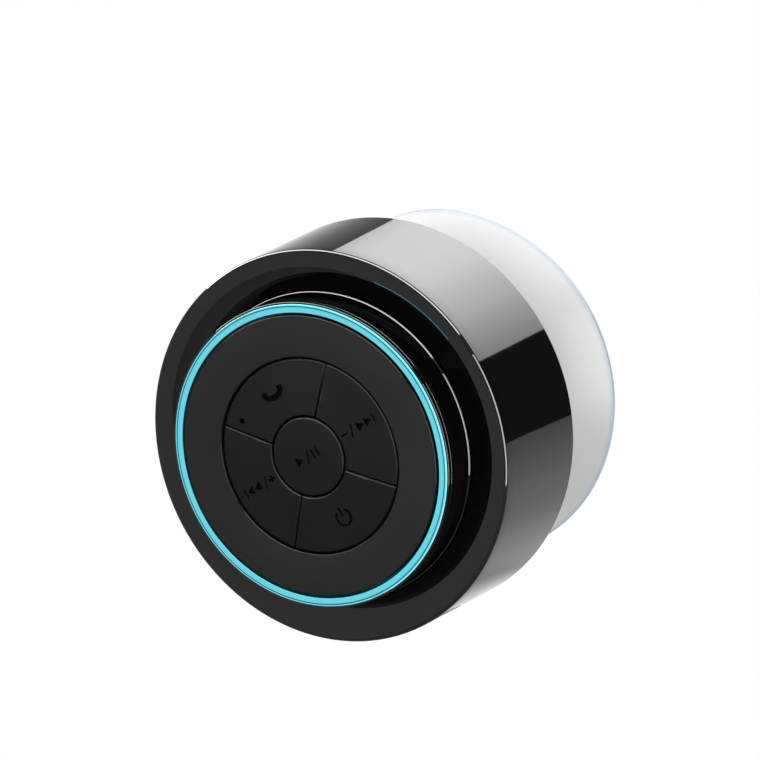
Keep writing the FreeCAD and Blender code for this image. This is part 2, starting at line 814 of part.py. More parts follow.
def driver_gasket():
    """Foam ring between the driver's flange and the baffle."""
    body = new_body("driver_gasket")
    raise_from(body, "driver_front", "gasket_thickness", [("driver_radius",), ("driver_radius - 1.2",)])


def driver_surround():
    """Rubber half-roll from the flange to the cone's edge."""
    roll_centre = "basket_mouth - roll_radius"
    turn(new_body("driver_surround"), [
        ("driver_radius - 1.4", "driver_front"),
        ("driver_radius - 1.4", "driver_front + roll_skin"),
        (f"{roll_centre} + roll_radius", "driver_front + roll_skin", "left"),
        (f"{roll_centre} - roll_radius", "driver_front + roll_skin"),
        ("cone_edge - 0.4", "driver_front + roll_skin"),
        ("cone_edge - 0.4", "driver_front"),
        (f"{roll_centre} - roll_radius + roll_skin", "driver_front", "right"),
        (f"{roll_centre} + roll_radius - roll_skin", "driver_front"),
    ])


def driver_cone():
    """Paper cone from the voice coil to the surround."""
    turn(new_body("driver_cone"), [
        ("coil_outer", "coil_top - cone_skin"),
        ("cone_edge", "driver_front - cone_skin"),
        ("cone_edge", "driver_front"),
        ("coil_outer", "coil_top"),
    ])


def dust_cap():
    """Domed cap over the voice coil."""
    turn(new_body("dust_cap"), [
        ("coil_outer", "coil_top", "((coil_outer)^2 + cap_rise^2)/(2*cap_rise)"),
        ("0", "coil_top + cap_rise"),
        ("0", "coil_top"),
    ])


def voice_coil():
    """Former and winding, free in the motor's gap."""
    turn(new_body("voice_coil"), [
        ("coil_radius - coil_skin/2", "coil_top - coil_length"),
        ("coil_outer + coil_skin", "coil_top - coil_length"),
        ("coil_outer + coil_skin", "plate_face + 0.6"),
        ("coil_outer", "plate_face + 0.6"),
        ("coil_outer", "coil_top"),
        ("coil_radius - coil_skin/2", "coil_top"),
    ])


def driver_spider():
    """Corrugated cloth ring that centres the coil."""
    body = new_body("driver_spider")
    raise_from(body, "spider_level", "0.3", [("spider_radius",), ("coil_outer",)])


def magnet_yoke():
    """Steel pot of the motor."""
    turn(new_body("magnet_yoke"), [
        ("0", "driver_back"),
        ("yoke_radius", "driver_back"),
        ("yoke_radius", "plate_face"),
        ("yoke_bore", "plate_face"),
        ("yoke_bore", "driver_back + yoke_floor"),
        ("0", "driver_back + yoke_floor"),
    ])


def driver_magnet():
    magnet_radius = "coil_radius - coil_skin/2 - coil_gap - 0.3"
    group("driver_magnet", [rod(magnet_radius, "driver_back + yoke_floor", "magnet_height")])


def pole_plate():
    group("pole_plate", [rod("coil_radius - coil_skin/2 - coil_gap", "plate_face - plate_height", "plate_height")])


def terminal_tag():
    """Solder tag behind the driver's flange, for its two leads."""
    group("terminal_tag", [spun_block("driver_radius + 0.4", 210, "driver_front - flange_thickness - 0.4",
                                      "3.6", "6", "0.4")])


def speaker_leads():
    """Two wires from the driver's tag straight back to the main board."""
    length = "driver_front - flange_thickness - 0.4 - main_board_front"
    group("speaker_leads", [rod("wire_radius", "main_board_front", length, x, y)
                            for _, x, y in around("wire_radius", "driver_radius + 1", (206, 214))])


# ---- rear cover and suction cup ---------------------------------------------------------------------------

def add_thread(body, root, crest, side):
    """One helical ridge from a root radius to a crest radius; side -1 starts it half a turn round."""
    sketch = new_sketch(body, "XZ_Plane")
    add_loop(sketch, [
        (f"{side}*({root})", "thread_start - thread_root/2"),
        (f"{side}*({crest})", "thread_start - thread_crest/2"),
        (f"{side}*({crest})", "thread_start + thread_crest/2"),
        (f"{side}*({root})", "thread_start + thread_root/2"),
    ])
    document.recompute()
    helix = body.newObject("PartDesign::AdditiveHelix", body.Label + "_thread")
    helix.Profile = sketch
    helix.ReferenceAxis = (sketch, ["V_Axis"])
    helix.Mode = "pitch-turns-angle"
    bind(helix, "Pitch", "thread_pitch")
    bind(helix, "Turns", "thread_turns")


def slot_loop(width, height):
    """A round-ended slot in plan, on the speaker's axis."""
    flat = f"({width} - {height})/2"
    end = f"({height})/2"
    return [(f"-({flat})", f"-({end})"), (flat, f"-({end})", "left"), (flat, end), (f"-({flat})", end, "left")]


def rear_cover():
    """Domed cover whose boss holds the cup's threaded well, with the charging port in the well's floor."""
    body = new_body("rear_cover")
    turn(body, [
        ("0", "well_end"),
        ("well_radius", "well_end"),
        ("well_radius", "boss_station"),
        ("cover_boss", "boss_station", "cover_dome"),
        ("cover_radius", "rear_station"),
        ("cover_radius", "rear_station + cover_edge"),
        ("cover_radius - 2.4", "rear_station + cover_edge", "-cover_dome"),
        ("cover_boss + 1", "boss_station + wall + 0.4"),
        ("cover_boss - 2.5", "well_inside"),
        ("0", "well_inside"),
    ])
    raise_from(body, "boss_station + cover_slope*(standoff_circle - cover_boss) + wall/4",
               "main_board_back - (boss_station + cover_slope*(standoff_circle - cover_boss) + wall/4)",
               around("standoff_radius", "standoff_circle", STANDOFF_ANGLES))
    raise_from(body, "rear_station + 0.4", "cover_edge + seal_thickness - 0.4",
               around("head_radius + 1.2", "boss_circle", DIAGONALS))
    cut_from(body, "shoulder_station + 1", "6", around("screw_radius + screw_fit", "boss_circle", DIAGONALS))
    cut_from(body, "rear_station", "4", around("head_radius + 0.2", "boss_circle", DIAGONALS))
    cut_from(body, "main_board_back", "5", around("screw_radius + screw_fit", "standoff_circle", STANDOFF_ANGLES))
    cut_from(body, "well_inside + 1", "well_floor + 2",
             [slot_loop("port_width + 2*port_fit", "port_height + 2*port_fit")])
    document.recompute()
    groove_floor = "hub_front + 2*seal_section + 2*seal_fit"
    turn(body, [
        ("seal_circle - seal_section - seal_fit", "boss_station - 1"),
        ("seal_circle + seal_section + seal_fit", "boss_station - 1"),
        ("seal_circle + seal_section + seal_fit", groove_floor),
        ("seal_circle - seal_section - seal_fit", groove_floor),
    ], "PartDesign::Groove")
    add_thread(body, "well_radius + 0.2", "well_radius - thread_height", -1)


def cover_seal():
    """Flat gasket under the cover's edge."""
    body = new_body("cover_seal")
    raise_from(body, "rear_station + cover_edge", "seal_thickness", [("cover_radius",), ("inner_radius + 0.1",)])


def hub_seal():
    """O-ring in the cover's boss, pressed by the hub to keep water off the charging port."""
    ring = document.addObject("Part::Torus", "ring")
    bind(ring, "Radius1", "seal_circle")
    bind(ring, "Radius2", "seal_section")
    bind(ring, "Placement.Base.z", "hub_front + seal_section + seal_fit")
    group("hub_seal", [ring])


def cup_hub():
    """Screws into the cover's well and carries the suction cup on a mushroom-shaped anchor."""
    body = new_body("cup_hub")
    turn(body, [
        ("0", "anchor_base"),
        ("anchor_radius", "anchor_base"),
        ("anchor_radius", "anchor_base + anchor_height"),
        ("anchor_stem", "anchor_base + anchor_height"),
        ("anchor_stem", "hub_back"),
        ("hub_radius - 0.8", "hub_back"),
        ("hub_radius", "hub_back + 0.8"),
        ("hub_radius", "hub_front - 0.5"),
        ("hub_radius - 0.5", "hub_front"),
        ("stub_radius_root", "hub_front"),
        ("stub_radius_root", "stub_front"),
        ("hub_cavity", "stub_front"),
        ("hub_cavity", "hub_front"),
        ("0", "hub_front"),
    ])
    cut_from(body, "hub_front + 0.1", "hub_thickness + 0.2", around("1.3", "hub_radius + 0.5", range(0, 360, 30)))
    add_thread(body, "stub_radius_root - 0.2", "stub_radius_root + thread_height", 1)


def suction_cup():
    """Soft cup moulded round the hub's anchor."""
    hollow_end = "cup_radius - cup_lip"
    turn(new_body("suction_cup"), [
        ("0", "cup_hollow"),
        ("0", "anchor_base"),
        ("anchor_radius", "anchor_base"),
        ("anchor_radius", "anchor_base + anchor_height"),
        ("anchor_stem", "anchor_base + anchor_height"),
        ("anchor_stem", "hub_back"),
        ("cup_neck", "hub_back"),
        ("cup_neck", "cup_shoulder_height + 1.2"),
        ("cup_shoulder", "cup_shoulder_height", "-cup_dome"),
        ("cup_radius", "cup_edge"),
        ("cup_radius", "0"),
        (hollow_end, "0", f"(({hollow_end})^2 + cup_hollow^2)/(2*cup_hollow)"),
    ])


# ---- electronics ------------------------------------------------------------------------------------------

def main_board():
    """Round circuit board behind the driver."""
    body = new_body("main_board")
    raise_from(body, "main_board_back", "main_board_thickness",
               [("main_board_radius",)] + around("screw_radius + screw_fit", "standoff_circle", STANDOFF_ANGLES))


def usb_socket():
    """Upright charging socket that looks out through the well's floor."""
    body = new_body("usb_socket")
    raise_from(body, "well_end", "main_board_back - well_end", [slot_loop("port_width", "port_height")])
    cut_from(body, "well_end + port_mouth", "port_mouth + 1",
             [slot_loop("(port_width - 2*port_skin)", "(port_height - 2*port_skin)")])
    raise_from(body, "well_end + 0.6", "port_mouth", [rectangle("0", "0", "port_width - 2.4", "0.7")])


def usb_gasket():
    """Rubber frame that seals the socket to the well's floor from inside."""
    body = new_body("usb_gasket")
    raise_from(body, "well_inside", "1.2", [slot_loop("(port_width + 3)", "(port_height + 3)"),
                                            slot_loop("(port_width + 2*port_fit)", "(port_height + 2*port_fit)")])


def bluetooth_module():
    group("bluetooth_module", [block("0", "standoff_circle - 0.5", "main_board_front", "13", "8", "2")])


def amplifier_chip():
    group("amplifier_chip", [block("-(main_board_radius - 7.5)", "0", "main_board_front", "4.6", "5", "1.2")])


def capacitors():
    group("capacitors", [rod("2.4", "main_board_front", "7", "driver_radius + 3.2", y) for y in ("5.5", "-0.5")])


def battery_cell():
    """Flat lithium cell below the driver."""
    middle = "-(battery_offset + battery_width/2)"
    group("battery_cell", [block("0", middle, "battery_back", "battery_length", "battery_width", "battery_height")])


def battery_pad():
    """Foam between the cell and the main board."""
    group("battery_pad", [block("0", "-(battery_offset + 3.5)", "main_board_front", "battery_length - 4", "6",
                                "pad_thickness")])


def battery_leads():
    """Two wires from the cell's end, bent back down to the main board."""
    level = "battery_back + battery_height/2"
    reach, bend = "4.5", "2"
    leads = []
    for offset in ("battery_offset + 0.6", "battery_offset + 1.8"):
        body = document.addObject("PartDesign::Body", "lead")
        path = new_sketch(body, "XZ_Plane", offset)
        end_x = f"battery_length/2 + {reach}"
        places = [("battery_length/2", level), (f"{end_x} - {bend}", level), (end_x, f"{level} - {bend}"),
                  (end_x, "main_board_front")]
        add_path(path, places, bend)
        section = new_sketch(body, "YZ_Plane", "battery_length/2")
        add_circle(section, "wire_radius", f"-({offset})", level)
        document.recompute()
        pipe = body.newObject("PartDesign::AdditivePipe", "wire")
        pipe.Profile = section
        pipe.Spine = path
        leads.append(body)
    group("battery_leads", leads)


def add_path(sketch, places, bend):
    """A straight run, a quarter bend to the right and a second run."""
    start, bend_start, bend_end, end = [Vector(millimetres(x), millimetres(y), 0) for x, y in places]
    first = sketch.addGeometry(Part.LineSegment(start, bend_start), False)
    centre = Vector(bend_start.x, bend_end.y, 0)
    circle = Part.Circle(centre, Vector(0, 0, 1), millimetres(bend))
    curve = sketch.addGeometry(Part.ArcOfCircle(circle, 0, math.pi / 2), False)
    last = sketch.addGeometry(Part.LineSegment(bend_end, end), False)
    sketch.addConstraint(Sketcher.Constraint("Coincident", first, 2, curve, 2))
    sketch.addConstraint(Sketcher.Constraint("Coincident", curve, 1, last, 1))
    for side, point, (x, y) in ((first, 1, places[0]), (curve, 2, places[1]), (curve, 1, places[2]),
                                (last, 2, places[3])):
        add_constraint(sketch, x, "DistanceX", -1, 1, side, point)
        add_constraint(sketch, y, "DistanceY", -1, 1, side, point)
    add_constraint(sketch, bend, "Radius", curve)


def key_ribbon():
    """Flat cable from the key board back to the main board."""
    group("key_ribbon", [block("-ribbon_offset", "0", "main_board_front", "ribbon_thickness", "ribbon_width",
                               "board_back - main_board_front")])


# ---- screws -----------------------------------------------------------------------------------------------

def screw_set(label, circle, angles, seat, length, side):
    """Pan-head screws with a hexagon recess. The head lies behind its seat (side -1) or in front (side 1)."""
    screws = []
    for _, x, y in around("head_radius", circle, angles):
        if side < 0:
            head = rod("head_radius", f"{seat} - head_height", "head_height", x, y)
            shank = rod("screw_radius", seat, length, x, y)
            recess_bottom = f"{seat} - head_height - 0.2"
        else:
            head = rod("head_radius", seat, "head_height", x, y)
            shank = rod("screw_radius", f"{seat} - {length}", length, x, y)
            recess_bottom = f"{seat} + head_height - 0.7"
        recess = document.addObject("Part::Prism", "recess")
        recess.Polygon = 6
        bind(recess, "Circumradius", "head_radius*0.5")
        recess.Height = 0.9
        bind(recess, "Placement.Base.x", x)
        bind(recess, "Placement.Base.y", y)
        bind(recess, "Placement.Base.z", recess_bottom)
        screws.append(less(fused(head, shank), recess))
    group(label, screws)


def screws():
    screw_set("rear_cover_screws", "boss_circle", DIAGONALS, "rear_station", "9", -1)
    screw_set("baffle_screws", "lug_circle", CROSSWISE, "baffle_back", "baffle_thickness + front_chamber", -1)
    screw_set("pod_screws", "pod_post_circle", DIAGONALS, "baffle_back",
              "baffle_thickness + front_chamber + pod_floor + 1", -1)
    screw_set("key_board_screws", "board_screw_circle", BOARD_SCREW_ANGLES, "board_face", "3.6", 1)
    screw_set("main_board_screws", "standoff_circle", STANDOFF_ANGLES, "main_board_front", "4.5", 1)


def export():
    """Check every object, then write each sub-part."""
    document.recompute()
    failed = [thing.Label for thing in document.Objects if {"Invalid", "Error"} & set(thing.State)]
    broken = [piece.Label for piece in pieces if piece.Shape.isNull() or not piece.Shape.isValid()]
    if failed or broken:
        raise RuntimeError(f"failed: {failed}, broken: {broken}")
    os.makedirs("parts", exist_ok=True)
    for piece in pieces:
        piece.Shape.exportStep(f"parts/{piece.Label}.step")


for make in (front_shell, slot_mesh, baffle_plate, pod_housing, ring_bezel, light_ring, front_panel,
             play_key, call_key, mic_mesh, key_membrane, switch_plungers, key_switches, key_board, leds, microphone,
             driver_frame, driver_gasket, driver_surround, driver_cone, dust_cap, voice_coil, driver_spider,
             magnet_yoke, driver_magnet, pole_plate, terminal_tag, speaker_leads,
             rear_cover, cover_seal, hub_seal, cup_hub, suction_cup,
             main_board, usb_socket, usb_gasket, bluetooth_module, amplifier_chip, capacitors,
             battery_cell, battery_pad, battery_leads, key_ribbon, screws):
    make()
sector_key("next_key", 0, [bar(-1.5, -1.05, 0.06), slash(-0.65), arrow(-0.2, 0.35), arrow(0.45, 1.0), bar(1.1, 1.22)])
sector_key("previous_key", 2, [plus_sign(1.2), slash(0.65), arrow(0.2, -0.35), arrow(-0.45, -1.0), bar(-1.22, -1.1)])
sector_key("power_key", 3, power_sign())
export()
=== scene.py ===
import math

import bpy
from mathutils import Matrix, Vector


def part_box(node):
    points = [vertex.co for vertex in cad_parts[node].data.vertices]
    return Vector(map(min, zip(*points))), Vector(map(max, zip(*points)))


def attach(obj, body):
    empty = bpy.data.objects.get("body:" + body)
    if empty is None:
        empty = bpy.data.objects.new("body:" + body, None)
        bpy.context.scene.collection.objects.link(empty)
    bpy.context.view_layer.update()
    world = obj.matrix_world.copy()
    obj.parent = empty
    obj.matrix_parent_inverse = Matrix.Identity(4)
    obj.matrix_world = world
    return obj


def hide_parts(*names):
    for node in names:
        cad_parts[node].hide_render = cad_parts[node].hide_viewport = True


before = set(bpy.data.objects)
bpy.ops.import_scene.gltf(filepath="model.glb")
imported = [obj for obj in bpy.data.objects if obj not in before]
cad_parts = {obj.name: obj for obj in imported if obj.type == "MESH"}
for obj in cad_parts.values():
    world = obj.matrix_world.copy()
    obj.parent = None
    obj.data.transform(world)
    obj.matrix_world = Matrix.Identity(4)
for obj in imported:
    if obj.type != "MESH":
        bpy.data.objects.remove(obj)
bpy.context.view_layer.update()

# ---- gloss shell -----------------------------------------------------------------------------------------
# Injection-moulded ABS in piano black, one cup: side wall, small rounded rim and a face that dips towards the
# pod. The gloss is nearly perfect, with a faint orange peel and wiping marks. The rear mouth is rebated.
MM = 0.001
shell_low, shell_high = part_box("front_shell")
shell_radius = shell_high.x / MM
shell_back = -shell_high.y / MM
shell_rim = -shell_low.y / MM
rim_round = 0.6
rim_land = 2.0
face_hole = 32.5
face_dip = 1.2
shell_wall = 2.2
rebate_depth = 2.0
rebate_lip = 0.8


def arc(radius, level, bend, start, end, steps):
    """Points of an arc in a section; angles in degrees from the outward direction towards the listener."""
    angles = [math.radians(start + (end - start) * step / steps) for step in range(steps + 1)]
    return [(radius + bend * math.cos(a), level + bend * math.sin(a)) for a in angles]


def turned(name, section, closed=True, segments=256):
    """Pull a circle out ring by ring through a section of (radius, distance from the wall) in millimetres.

    A closed section is a loop; an open one starts and ends on the axis.
    """
    pole = 0.001
    rings = [(max(radius, pole), level) for radius, level in section]
    bpy.ops.object.select_all(action="DESELECT")
    radius, level = rings[0]
    bpy.ops.mesh.primitive_circle_add(vertices=segments, radius=radius * MM, location=(0, -level * MM, 0),
                                      rotation=(math.pi / 2, 0, 0))
    piece = bpy.context.object
    piece.name = name
    bpy.ops.object.transform_apply()
    bpy.ops.object.mode_set(mode="EDIT")
    bpy.ops.mesh.select_all(action="SELECT")
    for next_radius, next_level in rings[1:]:
        bpy.ops.mesh.extrude_edges_move(TRANSFORM_OT_translate={"value": (0, (level - next_level) * MM, 0)})
        grow = next_radius / radius
        bpy.ops.transform.resize(value=(grow, 1, grow), center_override=(0, -next_level * MM, 0))
        radius, level = next_radius, next_level
    if closed:
        bpy.ops.mesh.select_all(action="DESELECT")
        bpy.ops.mesh.select_non_manifold(extend=False, use_wire=False, use_multi_face=False,
                                         use_non_contiguous=False, use_verts=False)
        bpy.ops.mesh.bridge_edge_loops()
    bpy.ops.mesh.select_all(action="SELECT")
    bpy.ops.mesh.remove_doubles(threshold=3 * pole * MM)
    bpy.ops.mesh.normals_make_consistent(inside=False)
    bpy.ops.object.mode_set(mode="OBJECT")
    bpy.ops.object.shade_smooth_by_angle(angle=math.radians(32))
    return piece


def moulded(name, colour, roughness, shine=0.5, grain=0.4, depth=0.02, mottle=0.1, rough_spread=0.05,
            metal=0.0):
    """A finish whose colour and roughness drift slowly.

    A fine grain, grain millimetres wide, stands up by depth in millimetres.
    """
    paint = bpy.data.materials.new(name)
    paint.use_nodes = True
    tree = paint.node_tree
    shader = tree.nodes["Principled BSDF"]
    shader.inputs["Specular IOR Level"].default_value = shine
    shader.inputs["Metallic"].default_value = metal
    where = tree.nodes.new("ShaderNodeTexCoord")
    clouds = tree.nodes.new("ShaderNodeTexNoise")
    clouds.inputs["Scale"].default_value = 60
    clouds.inputs["Detail"].default_value = 4
    tree.links.new(where.outputs["Object"], clouds.inputs["Vector"])
    tone = tree.nodes.new("ShaderNodeValToRGB")
    tone.color_ramp.elements[0].position = 0.3
    tone.color_ramp.elements[0].color = (*[channel * (1 - mottle) for channel in colour], 1)
    tone.color_ramp.elements[1].position = 0.7
    tone.color_ramp.elements[1].color = (*[channel * (1 + mottle) for channel in colour], 1)
    tree.links.new(clouds.outputs["Fac"], tone.inputs["Fac"])
    tree.links.new(tone.outputs["Color"], shader.inputs["Base Color"])
    gloss = tree.nodes.new("ShaderNodeMapRange")
    gloss.inputs["To Min"].default_value = max(roughness - rough_spread, 0.02)
    gloss.inputs["To Max"].default_value = roughness + rough_spread
    tree.links.new(clouds.outputs["Fac"], gloss.inputs["Value"])
    tree.links.new(gloss.outputs["Result"], shader.inputs["Roughness"])
    sand = tree.nodes.new("ShaderNodeTexNoise")
    sand.inputs["Scale"].default_value = 1 / (grain * MM)
    sand.inputs["Detail"].default_value = 2
    tree.links.new(where.outputs["Object"], sand.inputs["Vector"])
    relief = tree.nodes.new("ShaderNodeBump")
    relief.inputs["Distance"].default_value = depth * MM
    tree.links.new(sand.outputs["Fac"], relief.inputs["Height"])
    tree.links.new(relief.outputs["Normal"], shader.inputs["Normal"])
    return paint


def fitted(piece, paint, body, slot, *nodes):
    """Give a finished piece its material and its place in the assembly."""
    piece.data.materials.append(paint)
    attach(piece, body)
    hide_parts(*nodes)


piano_black = moulded("piano_black", (0.004, 0.004, 0.0045), 0.05, grain=4, depth=0.0015, rough_spread=0.02)
dip_start = shell_radius - rim_land
dip_reach = dip_start - face_hole
dip_bend = (dip_reach ** 2 + face_dip ** 2) / (2 * face_dip)
dip_angle = math.degrees(math.asin(dip_reach / dip_bend))
inner_wall = shell_radius - shell_wall
face_back = shell_rim - face_dip - shell_wall
section = [(shell_radius - 0.15, shell_back), (shell_radius, shell_back + 0.15)]
section += [(shell_radius, shell_back + 4 + step * 5) for step in range(5)]
section += arc(shell_radius - rim_round, shell_rim - rim_round, rim_round, 0, 90, 8)
section += arc(dip_start, shell_rim - dip_bend, dip_bend, 90, 90 + dip_angle, 20)
section += [(face_hole, face_back), (inner_wall, face_back), (inner_wall, shell_back + rebate_depth),
            (shell_radius - rebate_lip, shell_back + rebate_depth), (shell_radius - rebate_lip, shell_back)]
fitted(turned("gloss_shell", section), piano_black, "speaker", "gloss_black", "front_shell")

# ---- sound slot -------------------------------------------------------------------------------------------
# A strip of black acoustic cloth glued behind the narrow slot round the pod's foot, and a scrap of the same
# behind the microphone hole. Both are cut from woven polyester.
def cloth(name, colour, pitch):
    """Plain weave: two crossed waves of thread, each a pitch wide in millimetres, with a hairy surface."""
    paint = moulded(name, colour, 0.85, shine=0.2, grain=0.15, depth=0.02)
    tree = paint.node_tree
    where = tree.nodes["Texture Coordinate"]
    heights = []
    for direction in ("X", "Z"):
        thread = tree.nodes.new("ShaderNodeTexWave")
        thread.bands_direction = direction
        thread.inputs["Scale"].default_value = 1 / (pitch * MM) / 20
        tree.links.new(where.outputs["Object"], thread.inputs["Vector"])
        heights.append(thread.outputs["Fac"])
    crossed = tree.nodes.new("ShaderNodeMath")
    crossed.operation = "MAXIMUM"
    tree.links.new(heights[0], crossed.inputs[0])
    tree.links.new(heights[1], crossed.inputs[1])
    weave = tree.nodes.new("ShaderNodeBump")
    weave.inputs["Distance"].default_value = pitch * MM / 4
    tree.links.new(crossed.outputs["Value"], weave.inputs["Height"])
    tree.links.new(tree.nodes["Bump"].outputs["Normal"], weave.inputs["Normal"])
    tree.links.new(weave.outputs["Normal"], tree.nodes["Principled BSDF"].inputs["Normal"])
    return paint


def kept(paint, *nodes):
    """Give pieces that keep their own shape a finish."""
    for node in nodes:
        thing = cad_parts[node]
        thing.data.materials.clear()
        thing.data.materials.append(paint)


kept(cloth("speaker_cloth", (0.01, 0.01, 0.01), 0.3), "slot_mesh", "mic_mesh")

# ---- pod and bezel ---------------------------------------------------------------------------------------
# The same gloss ABS: a drum with a small flare at its foot, and a trim ring on top that tapers to the light
# ring. The sound leaves by the narrow slot round the foot.
pod_radius = 31.9
pod_flare = 0.2
pod_bottom = -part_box("pod_housing")[1].y / MM
pod_floor = 1.6
foot_level = 53.65
pod_top = 60.8
pod_bore = 30.2
ledge = 31.0
section = [(0, pod_bottom), (pod_radius + pod_flare, pod_bottom)]
section += arc(pod_radius + pod_flare - 0.1, foot_level - 0.1, 0.1, 0, 60, 3)
section += arc(pod_radius + 0.35, foot_level + 0.45, 0.4, 240, 180, 6)
section += [(pod_radius - 0.05, foot_level + 2.5), (pod_radius - 0.05, foot_level + 4.8)]
section += arc(pod_radius - 0.15, pod_top - 0.1, 0.1, 0, 90, 3)
section += [(ledge, pod_top), (ledge, pod_top - 0.9), (pod_bore, pod_top - 0.9)]
section += [(pod_bore, pod_bottom + pod_floor), (0, pod_bottom + pod_floor)]
fitted(turned("pod_drum", section, closed=False), piano_black, "speaker", "gloss_black", "pod_housing")

bezel_top = -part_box("ring_bezel")[0].y / MM
bezel_bore = 31.45
bezel_round = 0.16
section = [(bezel_bore, pod_top + 0.04), (pod_radius - 0.12, pod_top + 0.04)]
section += arc(pod_radius - 0.1, pod_top + 0.2, 0.1, -60, 0, 3)
section += arc(pod_radius - 0.04 - bezel_round, bezel_top - bezel_round, bezel_round, 0, 90, 5)
section += [(bezel_bore, bezel_top)]
fitted(turned("bezel_trim", section), piano_black, "speaker", "gloss_black", "ring_bezel")

# ---- light ring ------------------------------------------------------------------------------------------
# Clear blue acrylic light guide, lit from below: the flat top is an even blue, the outer edge is painted a
# little paler and brighter as a painted highlight, a thin dark line parts the two, and the inner wall gives
# no light.
ring_low, ring_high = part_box("light_ring")
ring_face = -ring_low.y / MM
ring_bottom = -ring_high.y / MM
ring_outer = 31.4
ring_inner = 29.75
ring_edge = 0.12
foot_inner = 28.2
foot_outer = 29.9
seat = 60.9
ring_seat_gap = 0.05
section = [(foot_inner, ring_bottom), (foot_outer, ring_bottom), (foot_outer, seat - 0.95)]
section += [(ledge - ring_seat_gap, seat - 0.95), (ledge - ring_seat_gap, seat)]
section += [(ring_outer, seat), (ring_outer, bezel_top + 0.02)]
section += arc(ring_outer - ring_edge, ring_face - ring_edge, ring_edge, 0, 90, 4)
section += arc(ring_inner + ring_edge, ring_face - ring_edge, ring_edge, 90, 180, 4)
section += [(ring_inner, seat), (ring_inner - 0.35, seat - 0.4), (foot_inner, seat - 0.4)]


def from_axis(tree):
    """Distance of a point from the speaker's axis."""
    split = tree.nodes.new("ShaderNodeSeparateXYZ")
    tree.links.new(tree.nodes["Texture Coordinate"].outputs["Object"], split.inputs["Vector"])
    plan = tree.nodes.new("ShaderNodeCombineXYZ")
    tree.links.new(split.outputs["X"], plan.inputs["X"])
    tree.links.new(split.outputs["Z"], plan.inputs["Z"])
    reach = tree.nodes.new("ShaderNodeVectorMath")
    reach.operation = "LENGTH"
    tree.links.new(plan.outputs["Vector"], reach.inputs[0])
    return reach.outputs["Value"]


def ranged(tree, source, start, end, low=0.0, high=1.0):
    """Stretch a value between two limits onto another pair."""
    stretch = tree.nodes.new("ShaderNodeMapRange")
    for socket, value in (("From Min", start), ("From Max", end), ("To Min", low), ("To Max", high)):
        stretch.inputs[socket].default_value = value
    tree.links.new(source, stretch.inputs["Value"])
    return stretch.outputs["Result"]


lit_acrylic = moulded("lit_acrylic", (0.02, 0.08, 0.10), 0.12, grain=6, depth=0.001)
tree = lit_acrylic.node_tree
shader = tree.nodes["Principled BSDF"]
reach = from_axis(tree)
glow_and_highlight_bands = tree.nodes.new("ShaderNodeValToRGB")
bands = glow_and_highlight_bands.color_ramp
bands.elements[0].position = 0.0
bands.elements[0].color = (0.0, 0.01, 0.015, 1)
bands.elements[1].position = 1.0
bands.elements[1].color = (0.12, 0.60, 0.72, 1)
# painted highlight: from 0.86 outwards the glow colour is painted paler, standing in for the white highlight
# on the outer bevel
for position, colour in ((0.04, (0.110, 0.61, 0.73)), (0.68, (0.100, 0.58, 0.68)), (0.715, (0.0, 0.02, 0.04)),
                         (0.82, (0.0, 0.03, 0.05)), (0.86, (0.14, 0.66, 0.78))):
    bands.elements.new(position).color = (*colour, 1)
tree.links.new(ranged(tree, reach, ring_inner * MM, ring_outer * MM), glow_and_highlight_bands.inputs["Fac"])
tree.links.new(glow_and_highlight_bands.outputs["Color"], shader.inputs["Emission Color"])
# painted highlight: the outermost 0.04 mm glows up to 2.2 times as strongly, evenly all round the ring
edge_highlight_glow = ranged(tree, reach, (ring_outer - 0.04) * MM, ring_outer * MM, 1.0, 2.2)
tree.links.new(edge_highlight_glow, shader.inputs["Emission Strength"])
fitted(turned("light_ring_guide", section), lit_acrylic, "speaker", "light_guide", "light_ring")

# ---- front panel -----------------------------------------------------------------------------------------
# Disc of ABS with a matt soft-touch lacquer, polished through to the bare edge, and two collars underneath
# that clamp the key membrane and stand on the key board.
panel_face = -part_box("front_panel")[0].y / MM
panel_radius = 29.2
pad_radius = 20.6
panel_edge = 0.22
panel_back = panel_face - 1.8
board_face = 57.4
membrane_top = 59.8
section = [(panel_radius, panel_back)]
section += arc(panel_radius - panel_edge, panel_face - panel_edge, panel_edge, 0, 90, 5)
section += arc(pad_radius + panel_edge, panel_face - panel_edge, panel_edge, 90, 180, 5)
section += [(pad_radius, panel_back)]
collars = ((21.8, 23.0, membrane_top), (26.8, 28.0, board_face))
for collar_inner, collar_outer, collar_end in collars:
    section += [(collar_inner, panel_back), (collar_inner, collar_end)]
    section += [(collar_outer, collar_end), (collar_outer, panel_back)]
soft_touch = moulded("soft_touch", (0.0190, 0.0190, 0.0192), 0.5, shine=0.12, grain=0.15, depth=0.003,
                     mottle=0.05)
tree = soft_touch.node_tree
reach = from_axis(tree)
flat_end = panel_radius - panel_edge
flat_start = pad_radius + panel_edge
polish_ramp = 0.05
outer_edge = ranged(tree, reach, flat_end * MM, (flat_end + polish_ramp) * MM)
inner_edge = ranged(tree, reach, (flat_start - polish_ramp) * MM, flat_start * MM, 1.0, 0.0)
edges = tree.nodes.new("ShaderNodeMath")
edges.operation = "MAXIMUM"
tree.links.new(outer_edge, edges.inputs[0])
tree.links.new(inner_edge, edges.inputs[1])
polish = tree.nodes.new("ShaderNodeMix")
tree.links.new(edges.outputs["Value"], polish.inputs["Factor"])
tree.links.new(tree.nodes["Map Range"].outputs["Result"], polish.inputs["A"])
polish.inputs["B"].default_value = 0.12
tree.links.new(polish.outputs["Result"], tree.nodes["Principled BSDF"].inputs["Roughness"])
fitted(turned("soft_panel", section), soft_touch, "speaker", "soft_touch", "front_panel")
